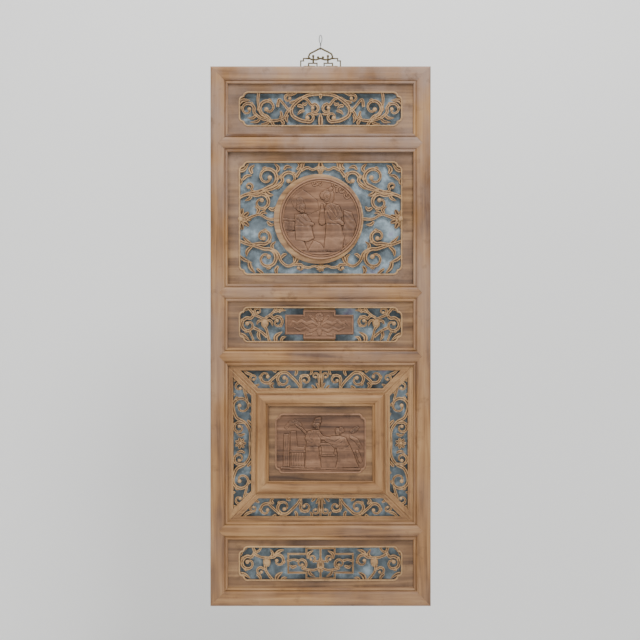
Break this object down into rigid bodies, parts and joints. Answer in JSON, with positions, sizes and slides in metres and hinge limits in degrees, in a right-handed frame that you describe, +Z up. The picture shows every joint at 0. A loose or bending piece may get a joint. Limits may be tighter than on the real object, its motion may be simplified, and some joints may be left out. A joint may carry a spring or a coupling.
{
  "type": "carved wooden panel",
  "caption": "Tall framed wooden panel with pierced scrollwork bays, a round figure relief, a framed figure relief and an openwork hanger at the top.",
  "frame": {"origin": "on the back of the top rail, at the rail's mid-height and the panel's middle, where it rests on the wall", "axes": "+X to the right as seen from the front, +Y into the wall, so the front faces -Y, +Z up"},
  "size_m": [0.552, 0.032, 1.4344],
  "materials": {
    "frame_wood": "worn waxed golden brown",
    "carved_wood": "worn, dark wax in the recesses",
    "relief_wood": "worn, dark wax in the recesses",
    "painted_ground": "faded slate blue paint, matt",
    "hanger_brass": "dark aged patina",
    "steel_wire": "dull grey wire"
  },
  "bodies": {
    "root": {"left_stile": "frame_wood", "right_stile": "frame_wood", "top_rail": "frame_wood", "bottom_rail": "frame_wood", "cross_rail_1": "frame_wood", "cross_rail_2": "frame_wood", "cross_rail_3": "frame_wood", "cross_rail_4": "frame_wood", "top_panel": "carved_wood", "medallion_panel": "carved_wood", "narrow_panel": "carved_wood", "border_panel_top": "carved_wood", "border_panel_bottom": "carved_wood", "border_panel_left": "carved_wood", "border_panel_right": "carved_wood", "bottom_panel": "carved_wood", "medallion": "relief_wood", "narrow_plaque": "relief_wood", "centre_relief_panel": "relief_wood", "inner_rail_top": "frame_wood", "inner_rail_bottom": "frame_wood", "inner_stile_left": "frame_wood", "inner_stile_right": "frame_wood", "backing_top": "painted_ground", "backing_medallion": "painted_ground", "backing_narrow": "painted_ground", "backing_square": "painted_ground", "backing_bottom": "painted_ground", "hanger": "hanger_brass", "hanger_screw_left": "hanger_brass", "hanger_screw_right": "hanger_brass", "hanging_loop": "steel_wire"}
  },
  "joints": []
}
